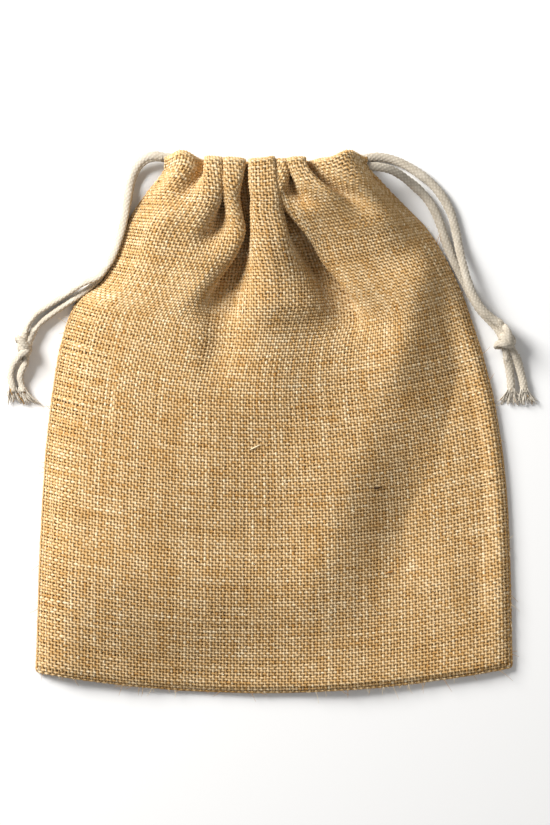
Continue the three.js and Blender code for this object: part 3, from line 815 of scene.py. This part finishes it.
def make_cords(rng):
    for hand in ("left", "right"):
        body = f"{hand}_drawcord"
        legs = [LEGS[f"{hand}_front"][0], LEGS[f"{hand}_back"][0]]
        names = ("inner", "outer") if hand == "right" else ("outer", "inner")
        tails = [TAILS[f"{hand}_{name}"] for name in names]
        centre, turn, wide, high = (((-159.6, 47.4, 5.6), -0.14, 3.9, 4.0) if hand == "left"
                                    else ((148.2, 52.4, 6.6), 0.42, 5.0, 4.9))
        wraps = knot(centre, turn, wide, high, legs, tails)
        on_it = [place(f"{hand}_knot_wraps", wraps, "cotton_cord", body, nodes=(f"{hand}_knot",))]
        for name, tail in zip(names, tails):
            braided = braid(tail, 5.4, 3.2, rolled=TAIL_ROLLS[hand])
            on_it.append(place(f"{hand}_{name}_tail_braid", braided, "cotton_cord", body,
                               nodes=(f"{hand}_{name}_tail",)))
            strands = fray(rng, tail[-1], LEANS[f"{hand}_{name}"])
            on_it.append(place(f"{hand}_{name}_fray_strands", strands, "cotton_cord", body,
                               nodes=(f"{hand}_{name}_fray",)))
        for where in ("front", "back"):
            route, rolled = LEGS[f"{hand}_{where}"]
            leg = place(f"{hand}_{where}_leg_braid", braid(route, rolled=rolled), "cotton_cord", body,
                        nodes=(f"{hand}_cord_{where}_leg",))


def make_hidden_cords():
    """The cords inside the hems: the lengths that draw out, the fixed runs and the turns at the ears."""
    lines = {"left": {"front": (UPPER_LINE, FRONT_CORD), "back": (UPPER_LINE, BACK_HIGH)},
             "right": {"front": (LOWER_LINE, FRONT_CORD), "back": (UPPER_LINE, BACK_LOW)}}
    inner_end = MOUTH_HALF - EAR
    for hand, sign, other, blend in (("left", -1, "right", RIGHT_BLEND), ("right", 1, "left", LEFT_BLEND)):
        for where, (line, z) in lines[hand].items():
            drawn = hem_run(line, z, sign * (MOUTH_HALF - 60 + 0.6), sign * (MOUTH_HALF + 1.6))
            run = braid(drawn, CORD_WIDE - 0.3, CORD_THICK - 0.2, 0.6, 24)
            place(f"{hand}_{where}_draw_braid", run, "cotton_cord", f"{hand}_drawcord",
                  nodes=(f"{hand}_cord_{where}_draw_run",))
            fixed = hem_run(line, z, sign * 4.3, -sign * inner_end)
            place(f"{hand}_{where}_hem_braid", braid(fixed, 4.8, CORD_FLAT - 0.3, 1.0, 16), "cotton_cord",
                  blend=blend, nodes=(f"{hand}_cord_{where}_hem_run",))
        bight = left_cord_bight() if hand == "left" else right_cord_bight()
        place(f"{hand}_bight_braid", braid(bight, 4.0, 3.2, 0.6, 20), "cotton_cord", f"{other}_mouth_end",
              nodes=(f"{hand}_cord_bight",))


def make_panel(side, rng):
    """One panel's yarns, in a left and a right half, with its hem. Returns its outer layer."""
    half = WARPS // 2
    sheet = cloth(side, rng)
    outer, hem, first = turned_in(sheet, side)
    main, inner = weave(outer, rng), weave(hem, rng)
    rows, hem_rows, hem_half = outer.shape[0], hem.shape[0], half - first
    spans = {"left": ((0, half + 1), (0, half + 2), (0, hem_half + 1), (0, hem_half + 2)),
             "right": ((half + 1, WARPS + 1), (half - 1, WARPS + 1), (hem_half + 1, hem.shape[1]),
                       (hem_half - 1, hem.shape[1]))}
    for hand, (warps, wefts, hem_warps, hem_wefts) in spans.items():
        warp = joined([yarns(main, "warp", warps, (0, rows)),
                       yarns(inner, "warp", hem_warps, (0, hem_rows))])
        weft = joined([yarns(main, "weft", (0, rows), wefts),
                       yarns(inner, "weft", (1, hem_rows), hem_wefts)])
        covers = [f"{hand}_{side}_ear"] + ([f"{side}_panel", f"{side}_casing"] if hand == "left" else [])
        a = place(f"{side}_{hand}_warp", warp, "hessian", blend=BLENDS[hand], nodes=covers)
        b = place(f"{side}_{hand}_weft", weft, "hessian", blend=BLENDS[hand])
        row = sheet[WEFTS - HEM, first:-first][slice(0, half + 1 - first) if hand == "left" else
                                               slice(half - first, None)]
        way = normals(sheet)[WEFTS - HEM, first:-first][:len(row)] * (1 if side == "front" else -0.4)
        line = stitches(row, way)
        place(f"{side}_{hand}_hem_stitches", line, "sewing_thread", blend=BLENDS[hand],
              nodes=(f"{side}_casing_thread",) if hand == "left" else ())
    return sheet


def strip(grid, rng):
    """A woven strip of seam allowance, warp and weft as one piece."""
    woven = weave(grid, rng)
    rows, columns = grid.shape[:2]
    return joined([yarns(woven, "warp", (0, columns), (0, rows)),
                   yarns(woven, "weft", (0, rows), (0, columns))])


def make_seams(back, rng):
    """The seam allowances turned in between the panels, and the stitches along them."""
    top = WEFTS - 20
    raised = back + np.array([0, 0, 1.9])
    inward = np.zeros((top, 3))
    inward[:, 2] = 1
    for hand, columns, edge, near, blend in (("left", slice(1, 6), 0, 1, LEFT_BLEND),
                                             ("right", slice(-6, -1), -1, -2, RIGHT_BLEND)):
        place(f"{hand}_seam_allowance", strip(raised[6:top, columns], rng), "hessian", blend=blend,
              nodes=(f"{hand}_side_seam",))
        line = (raised[:top, edge] + raised[:top, near]) / 2 - np.array([0, 0, 0.4])
        place(f"{hand}_seam_stitches", stitches(line, inward), "sewing_thread", blend=blend,
              nodes=(f"{hand}_side_thread",))
    place("bottom_seam_allowance", strip(raised[1:6, 1:-1], rng), "hessian", "pouch",
          nodes=("bottom_seam",))
    line = (raised[0] + raised[1]) / 2 - np.array([0, 0, 0.4])
    up = np.repeat([[0, 0, 1.0]], len(line), 0)
    place("bottom_seam_stitches", stitches(line, up), "sewing_thread", "pouch",
          nodes=("bottom_thread",))


# Flecks in the front's yarns: middle, run, thickness in mm, and tint from dark to pale.
FLECKS = [((66, -42), (5.5, 1.0), 0.95, -0.3), ((-12, -16), (7, 3.4), 0.8, 1.2),
          ((-49, -88), (4, -2), 0.5, -0.2), ((74, -96), (5, 1), 0.9, 0.1),
          ((126, -78), (4.5, -3), 0.9, 0.1), ((139, -37), (3, 0.5), 0.6, -0.3),
          ((-136, 12), (4, 0), 0.7, 0.12), ((-20, 70), (0.6, 4), 0.7, 1.2)]


def flecks(points, chosen):
    """Slubs and dark straws caught in the weave."""
    lines = []
    for (x, y), (dx, dy), _, _ in chosen:
        t = np.linspace(-0.5, 0.5, 8)
        line = np.column_stack([x + dx * t, y + dy * t, np.zeros(8)])
        gaps = np.linalg.norm(points[None, :, :, :2] - line[:, None, None, :2], axis=-1)
        near = gaps.reshape(8, -1).argmin(1)
        line[:, 2] = points[..., 2].ravel()[near] + 0.75
        lines.append(line)
    centres = np.array(lines)
    lift = np.zeros_like(centres)
    lift[..., 2] = 1
    swell = 0.3 + np.sin(np.linspace(0, np.pi, 8))
    girth = np.array([thick for _, _, thick, _ in chosen])[:, None] * swell
    vertices, faces = tubes(centres, lift, girth, 0.8 * girth)
    tint = np.repeat(np.array([tint for _, _, _, tint in chosen]), 8 * 4)
    return vertices * MM, faces, tint, np.stack([tint, vertices[:, 0]], -1)


def make_hairs(front, rng):
    half = WARPS // 2
    left = [fleck for fleck in FLECKS if fleck[0][0] < MOUTH_X]
    right = [fleck for fleck in FLECKS if fleck[0][0] >= MOUTH_X]
    place("left_loose_fibres", joined([hairs(rng, front[:, :half], 90), flecks(front, left)]), "hessian",
          blend=LEFT_BLEND)
    place("right_loose_fibres", joined([hairs(rng, front[:, half:], 90), flecks(front, right)]), "hessian",
          blend=RIGHT_BLEND)


camera()
stage()
FINISH = finishes()
make_cords(np.random.default_rng(SEED))
make_hidden_cords()
front_sheet = make_panel("front", np.random.default_rng(SEED + 1))
back_sheet = make_panel("back", np.random.default_rng(SEED + 2))
make_seams(back_sheet, np.random.default_rng(SEED + 3))
make_hairs(front_sheet, np.random.default_rng(SEED + 4))
